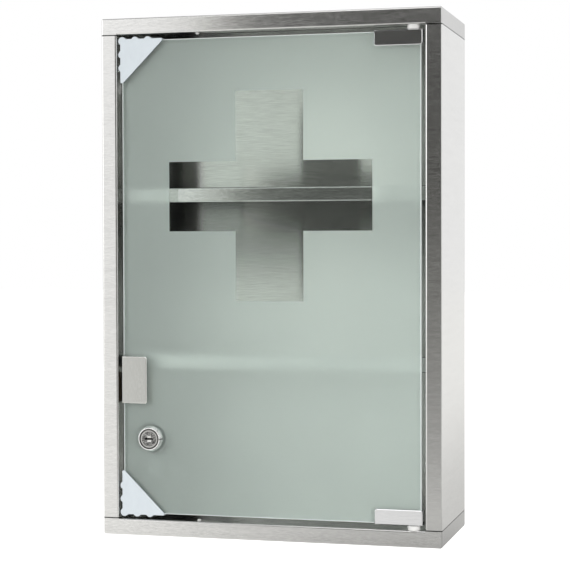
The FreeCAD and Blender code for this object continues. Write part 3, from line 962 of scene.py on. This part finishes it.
@dataclass
class Carcass:
    """Folded steel box with its shelves."""

    sheets: tuple[tuple[tuple[str, ...], BrushedSteel], ...] = (
        (("top_cap", "bottom_cap"), CAP_STEEL),
        (("left_side_panel", "right_side_panel"), SIDE_STEEL),
        (("back_panel",), BACK_STEEL),
        (("upper_shelf",), SHELF_STEEL),
        (("lower_shelf",), LIT_LOWER_SHELF_STEEL),
        (("upper_shelf_rests", "lower_shelf_rests"), FOLDED_STEEL),
    )

    def build(self) -> None:
        """Dress the sheets."""
        for nodes, finish in self.sheets:
            dress(nodes, finish.material())


@dataclass
class Pivots:
    """Bushes in the carcass with the door's pins, and the buttons on the carcass's lips."""

    rounding: float = 0.2 * MM
    mouldings: tuple[tuple[str, str], ...] = (
        ("upper_pivot_bush", "upper_bush"),
        ("lower_pivot_bush", "lower_bush"),
        ("lip_buffers", "lip_buttons"),
    )

    def build(self) -> None:
        """Round and dress the mouldings, and dress the pins."""
        nylon = NYLON.material()
        for node, name in self.mouldings:
            Workpiece(node).ease(self.rounding).finish(name, "cabinet", nylon, "bush_nylon")
        dress(("upper_hinge_pin", "lower_hinge_pin"), PIN_STEEL.material())


@dataclass
class MagneticCatch:
    """Catch behind the handle clip."""

    rounding: float = 0.25 * MM
    pole_rounding: float = 0.12 * MM

    def build(self) -> None:
        """Round and dress the housing and the poles, and dress the rest."""
        brown, steel = CATCH_PLASTIC.material(), POLE_STEEL.material()
        block = Workpiece("catch_housing").ease(self.rounding)
        block.finish("catch_block", "cabinet", brown, "catch_plastic")
        poles = Workpiece("catch_poles").ease(self.pole_rounding)
        poles.finish("pole_plates", "cabinet", steel, "pin_steel")
        dress(("catch_magnet",), FERRITE.material())
        dress(("catch_screws",), PIN_STEEL.material())
        dress(("catch_bracket",), SIDE_STEEL.material())


@dataclass
class Door:
    """Glass pane with its frosted layer."""

    corner: float = 1.5 * MM
    corner_segments: int = 6
    arris: float = 0.6 * MM
    rim_angle: float = math.radians(60.0)
    lock_hole: float = 9.8 * MM
    hole_segments: int = 72
    frost_gap: float = 0.03 * MM
    cross_size: float = 180.0 * MM
    cross_bar: float = 60.0 * MM
    cross_height: float = 295.0 * MM

    def plate(self, node: str, low: Vector, high: Vector) -> Workpiece:
        """Outline of a plate with rounded corners and the lock's hole.

        Args:
            node: node that it stands for.
            low: its low corner.
            high: its high corner.

        Returns:
            The outline, in the plane of its front.
        """
        plate = Workpiece(node, copied=False)
        corners = ((low.x, low.z), (high.x, low.z), (high.x, high.z), (low.x, high.z))
        plate.outline((x, low.y, z) for x, z in corners)
        plate.bevel(plate.mesh.verts[:], self.corner, self.corner_segments, affect="VERTICES")
        bmesh.ops.create_circle(
            plate.mesh,
            segments=self.hole_segments,
            radius=self.lock_hole,
            matrix=Matrix.Translation((LOCK_AXIS[0], low.y, LOCK_AXIS[1])) @ STOOD_UP,
        )
        return plate

    def build_pane(self) -> None:
        """Build the glass, with its arrises ground."""
        low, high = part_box("door_glass")
        pane = self.plate("door_glass", low, high)
        pane.fill_and_thicken(high.y - low.y)
        rims = [
            edge
            for edge in pane.mesh.edges
            if abs(edge.verts[0].co.y - edge.verts[1].co.y) < self.arris
            and edge.calc_face_angle(0.0) > self.rim_angle
        ]
        pane.bevel(rims, self.arris, 2)
        for face in pane.mesh.faces:
            face.material_index = int(abs(face.normal.y) < FLAT)
        piece = pane.finish("pane", "door", PANE_GLASS.material(), "door_glass", rounded=False)
        piece.data.materials.append(GROUND_EDGE.material())

    def build_frosting(self) -> None:
        """Build the layer behind the glass, with the clear cross left out of it."""
        low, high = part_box("frosted_coat")
        low.y += self.frost_gap
        layer = self.plate("frosted_coat", low, high)
        long, short = self.cross_size / 2, self.cross_bar / 2
        corners = [(short, long), (short, short), (long, short)]
        corners += [(x, -z) for x, z in reversed(corners)]
        corners += [(-x, z) for x, z in reversed(corners)]
        layer.outline((x, low.y, self.cross_height + z) for x, z in corners)
        layer.fill_and_thicken(high.y - low.y)
        layer.finish("frost_layer", "door", FROSTING.material(), "frosting", rounded=False)

    def build(self) -> None:
        """Build the door's glass."""
        self.build_pane()
        self.build_frosting()


@dataclass
class Clamps:
    """Hinge clamps and handle clip, with what lies under them."""

    rounding: float = 0.7 * MM
    segments: int = 3
    upper_corner: float = 0.8 * MM
    lower_corner: float = 2.2 * MM
    corner_segments: int = 5
    nearness: float = 0.01 * MM

    def cornered(self, node: str, upper: bool, radius: float) -> Workpiece:
        """Copy a clamp and round the two corners of its plates that lie on the glass.

        Args:
            node: the clamp's node.
            upper: whether these corners are its upper ones.
            radius: radius of the corners.

        Returns:
            The copy.
        """
        low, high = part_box(node)
        level = high.z if upper else low.z
        piece = Workpiece(node)
        corners = [
            edge
            for edge in piece.mesh.edges
            if all(abs(vert.co.z - level) < self.nearness for vert in edge.verts)
            and any(
                all(abs(vert.co.x - side) < self.nearness for vert in edge.verts)
                for side in (low.x, high.x)
            )
        ]
        piece.bevel(corners, radius, self.corner_segments)
        return piece

    def build(self) -> None:
        """Round and dress the clamps, and dress what lies under them."""
        hinge = HINGE_STEEL.material()
        for node, name, upper, corner in (
            ("upper_hinge_clamp", "upper_clamp", False, self.upper_corner),
            ("lower_hinge_clamp", "lower_clamp", True, self.lower_corner),
        ):
            clamp = self.cornered(node, upper, corner).ease(self.rounding, self.segments)
            clamp.finish(name, "door", hinge, "clamp_steel")
        handle = Workpiece("handle_clip").ease(self.rounding, self.segments)
        handle.finish("handle", "door", CLIP_STEEL.material(), "clamp_steel")
        dress(("hinge_liners", "hinge_pads", "handle_liner", "handle_pad"), RUBBER.material())
        dress(("hinge_screws", "handle_screws"), PIN_STEEL.material())


@dataclass
class CornerGuards:
    """Lobed plastic guards on the free corners of the glass."""

    rounding: float = 0.3 * MM

    def build(self) -> None:
        """Round and dress the guards."""
        plastic = GUARD_PLASTIC.material()
        for level in ("upper", "lower"):
            guard = Workpiece(f"{level}_corner_guard").ease(self.rounding)
            guard.finish(f"{level}_guard", "door", plastic, "guard_plastic")


@dataclass
class CamLock:
    """Lock with its bezel, plug and cam."""

    rounding: float = 0.2 * MM
    plug_rounding: float = 0.1 * MM

    def build(self) -> None:
        """Round and dress the lock."""
        bezel = Workpiece("lock_housing").ease(self.rounding)
        bezel.finish("bezel", "door", BEZEL_CHROME.material(), "lock_chrome")
        nut = Workpiece("lock_nut").ease(self.rounding)
        nut.finish("ring_nut", "door", CHROME.material(), "lock_chrome")
        dress(("lock_gaskets",), GASKET.material())
        plug = Workpiece("lock_cylinder").ease(self.plug_rounding)
        plug.finish("plug", "lock_plug", PLUG_METAL.material(), "plug_metal")
        cam = Workpiece("lock_cam").ease(self.rounding)
        cam.finish("cam_arm", "lock_plug", CAM_ZINC.material(), "cam_steel")
        dress(("cam_screw",), PIN_STEEL.material())


# ---- studio and camera ----


@dataclass(frozen=True)
class Softbox:
    """Soft lamp, with its place, the point that it faces, and its width and height.

    Its level is how bright its face looks, where one is white. Where it isn't mirrored,
    polished surfaces and glass don't show it.
    """

    name: str
    place: Place
    aim: Place
    size: Span
    level: float
    mirrored: bool = True

    def build(self) -> None:
        """Add the lamp."""
        width, height = self.size
        light = bpy.data.lights.new(self.name, "AREA")
        light.shape = "RECTANGLE"
        light.size, light.size_y = width, height
        light.energy = self.level * math.pi * width * height
        lamp = add_object(self.name, light)
        lamp.location = self.place
        lamp.rotation_mode = "QUATERNION"
        ahead = Vector(self.aim) - Vector(self.place)
        lamp.rotation_quaternion = ahead.to_track_quat("-Z", "Y")
        lamp.visible_camera = False
        lamp.visible_glossy = lamp.visible_transmission = self.mirrored


@dataclass
class Studio:
    """Pale floor, soft light and a shade in front that polished metal mirrors."""

    # Levels of what polished surfaces and clear glass show of the world.
    bright: float = 0.925
    left: Ramp = ((0.0, 0.86), (0.12, 1.15))
    front: Ramp = ((-0.2, 1.0), (0.2, 0.0))
    zenith: Ramp = ((0.6, 1.0), (0.85, 0.35))

    # What the frosting gathers, with less of it where it is passed only once.
    soft_across: Ramp = ((-0.45, 2.1), (0.3, 0.75))
    soft_rise: Ramp = ((0.1, 1.0), (0.5, 1.65))
    soft_floor: float = 1.75
    soft_once: float = 0.78

    # What matt surfaces are lit by.
    fill: float = 0.76
    floor_fill: float = 0.95

    # Numbers of faces passed and of matt bounces that tell the rays apart.
    past_pane: float = 4.5
    past_frosting: float = 6.5
    past_matt: float = 0.5

    # The floor, and how bright steel and glass show it.
    floor_side: float = 14.0
    floor_drop: float = 0.2 * MM
    floor_colour: Colour = (0.8, 0.8, 0.8)
    floor_glow: float = 0.66
    floor_tint: Colour = (1.0, 0.995, 0.975)
    near_level: float = 1.12
    far_level: float = 0.3
    left_level: float = 1.0
    near_start: float = -0.1
    near_power: float = 0.3
    foot: Ramp = ((-0.2, 1.0), (-0.07, 0.45))
    shade_foot: Ramp = ((-0.2, 0.0), (0.2, 1.0))
    beside: Ramp = ((0.15, 0.65), (0.4, 0.95))
    behind: Ramp = ((-0.06, 0.0), (0.1, 1.0))

    # The dark card, which stands behind the camera and right of the edge at the left.
    shade_left: float = -0.53
    shade_right: float = 2.6
    shade_distance: float = 1.62
    shade_height: float = 1.0
    shade_rise: float = 0.32
    shade_dark: float = 0.063
    shade_beside: float = 0.86
    shade_soft: float = 0.045
    shade_slope: float = 0.3076
    shade_across: Ramp = ((-0.8, 2.1), (0.5, 0.75))
    shade_tint: Colour = (1.0, 0.995, 0.93)

    lamps: tuple[Softbox, ...] = (
        Softbox("left_softbox", (-1.75, -1.7, 0.95), (0, 0, 0.25), (1.3, 1.9), 1.1),
        Softbox("top_softbox", (0.2, -0.5, 2.1), (0, 0, 0.2), (1.6, 1.2), 1.0),
        Softbox("door_softbox", (0.28, -0.4, 0.02), (0.1, -0.06, 0.12), (0.3, 0.2), 6.0, False),
    )

    def level(self, sheet: NodeSheet, mirrored: Value, soft: Value, matt: float) -> Socket:
        """How bright a part of the studio is for each kind of ray.

        Args:
            sheet: node tree to add to.
            mirrored: what polished surfaces and clear glass show.
            soft: what the frosting gathers.
            matt: what matt surfaces are lit by.

        Returns:
            The level.
        """
        faces = sheet.ray("Transmission Depth")
        scattered = sheet.maths("GREATER_THAN", faces, self.past_pane)
        twice = sheet.maths("GREATER_THAN", faces, self.past_frosting)
        indirect = sheet.maths("GREATER_THAN", sheet.ray("Diffuse Depth"), self.past_matt)
        gathered = sheet.maths("MULTIPLY", soft, sheet.mix(twice, self.soft_once, 1.0))
        return sheet.mix(indirect, sheet.mix(scattered, mirrored, gathered), matt)

    def build_world(self) -> None:
        """White background with a softer fill on the object."""
        world = bpy.data.worlds.new("studio_world")
        world.use_nodes = True
        world.cycles.sampling_method = "NONE"
        sheet = NodeSheet(world.node_tree)
        way = sheet.axes("Generated")
        ahead = sheet.ramp(way["Z"], self.left)
        around = sheet.mix(sheet.ramp(way["Y"], self.front), self.bright, ahead)
        lit = sheet.maths("MULTIPLY", around, sheet.ramp(way["Z"], self.zenith))
        backdrop = sheet.mix(sheet.ray("Is Camera Ray"), lit, 1.0)
        across = sheet.ramp(way["X"], self.soft_across)
        soft = sheet.maths("MULTIPLY", across, sheet.ramp(way["Z"], self.soft_rise))
        level = self.level(sheet, backdrop, soft, self.fill)
        white = sheet.add("ShaderNodeBackground", {"Color": WHITE, "Strength": level})
        output = sheet.add("ShaderNodeOutputWorld")
        sheet.tree.links.new(white.outputs[0], output.inputs["Surface"])
        bpy.context.scene.world = world

    def card(self, name: str, matrix: Matrix, material: Material) -> bpy.types.Object:
        """Add a flat stage card, which isn't sampled as a lamp.

        Args:
            name: name of the card.
            matrix: what places and stretches a square with sides of one metre.
            material: its finish.

        Returns:
            The card.
        """
        shape = bmesh.new()
        bmesh.ops.create_grid(shape, x_segments=1, y_segments=1, size=HALF, matrix=matrix)
        data = bpy.data.meshes.new(name)
        shape.to_mesh(data)
        shape.free()
        material.cycles.emission_sampling = "NONE"
        data.materials.append(material)
        card = add_object(name, data)
        return card

    def mirror_level(self, sheet: ShaderSheet) -> Socket:
        """How bright steel and glass show the floor: bright at the left, duller at the shade.

        Args:
            sheet: the floor's material.

        Returns:
            The level.
        """
        across, along, _ = sheet.parts(sheet.place)
        edge = sheet.maths("MULTIPLY_ADD", along, -self.shade_slope, across)
        depth = ((self.near_start, 0.0), (-self.shade_distance, 1.0))
        away = sheet.maths("POWER", sheet.ramp(along, depth, curve="LINEAR"), self.near_power)
        ahead = sheet.mix(away, self.near_level, self.far_level)
        dulled = sheet.maths("MULTIPLY", ahead, sheet.ramp(along, self.foot))
        front = sheet.mix(sheet.ramp(edge, self.shade_foot), self.left_level, dulled)
        return sheet.mix(sheet.ramp(along, self.behind), front, sheet.ramp(across, self.beside))

    def build_floor(self) -> None:
        """Pale floor that keeps the object's shadow."""
        sheet = ShaderSheet("pale_floor")
        paper = sheet.add("ShaderNodeBsdfDiffuse", {"Color": self.floor_colour})
        glow = sheet.add("ShaderNodeEmission", {"Color": WHITE, "Strength": self.floor_glow})
        lit = sheet.add("ShaderNodeAddShader", {0: paper.outputs[0], 1: glow.outputs[0]})
        level = self.level(sheet, self.mirror_level(sheet), self.soft_floor, self.floor_fill)
        shown = sheet.add("ShaderNodeEmission", {"Color": self.floor_tint, "Strength": level})
        seen = sheet.ray("Is Camera Ray")
        material = sheet.send(sheet.mix_shaders(seen, shown.outputs[0], lit.outputs[0]))
        size = Matrix.Diagonal((self.floor_side, self.floor_side, 1.0, 1.0))
        self.card("floor", Matrix.Translation((0, 0, -self.floor_drop)) @ size, material)

    def build_shade(self) -> None:
        """Dark card behind the camera, lighter near the floor, that only mirrors show."""
        sheet = ShaderSheet("front_shade")
        place = sheet.parts(sheet.place)
        left, right = self.shade_left - self.shade_soft, self.shade_left + self.shade_soft
        edge = sheet.ramp(place["X"], ((left, 1.0), (right, 0.0)))
        rise = ((0.0, self.far_level), (self.shade_rise, self.shade_dark))
        mirrored = sheet.mix(edge, sheet.ramp(place["Z"], rise), self.shade_beside)
        soft = sheet.ramp(place["X"], self.shade_across)
        level = self.level(sheet, mirrored, soft, self.fill)
        glow = sheet.add("ShaderNodeEmission", {"Color": self.shade_tint, "Strength": level})
        width = self.shade_right - left
        middle = Vector((left + width / 2, -self.shade_distance, self.shade_height / 2))
        size = Matrix.Diagonal((width, self.shade_height, 1.0, 1.0))
        matrix = Matrix.Translation(middle) @ STOOD_UP @ size
        shade = self.card("shade", matrix, sheet.send(glow.outputs[0]))
        shade.visible_camera = shade.visible_diffuse = shade.visible_shadow = False

    def build(self) -> None:
        """Build the world, the floor, the shade and the lamps."""
        self.build_world()
        self.build_floor()
        self.build_shade()
        for lamp in self.lamps:
            lamp.build()
        bpy.context.scene.view_settings.view_transform = "Standard"


@dataclass
class PhotoCamera:
    """Camera that stands where the photograph was taken.

    Its angles are in degrees: to the left of +Y, down, and about the line of sight.
    """

    place: Place = (0.391185, -1.444316, 0.255690)
    azimuth: float = 15.17957793
    elevation: float = 1.46289733
    roll: float = -0.15264139
    focal_pixels: float = 1691.3516
    sensor: float = 36.0
    clip: Span = (0.05, 50.0)

    def build(self) -> None:
        """Add the camera and make it the scene's."""
        data = bpy.data.cameras.new("photo_camera")
        data.sensor_width = self.sensor
        data.lens = self.focal_pixels * self.sensor / PICTURE_SIDE
        data.clip_start, data.clip_end = self.clip
        camera = add_object("photo_camera", data)
        matrix = Matrix.Translation(self.place)
        for angle, axis in ((self.azimuth, "Z"), (90.0 - self.elevation, "X"), (self.roll, "Z")):
            matrix = matrix @ Matrix.Rotation(math.radians(angle), 4, axis)
        camera.matrix_world = matrix
        bpy.context.scene.camera = camera


def main() -> None:
    """Build the cabinet's looks in order, and the studio round it."""
    logging.basicConfig(level=logging.INFO, format="%(name)s: %(message)s")
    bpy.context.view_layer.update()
    PhotoCamera().build()
    cabinet = (Carcass(), Pivots(), MagneticCatch(), Door(), Clamps(), CornerGuards(), CamLock())
    for assembly in (*cabinet, Studio()):
        assembly.build()
        log.info("%s is done", type(assembly).__name__)


if __name__ == "__main__":
    main()
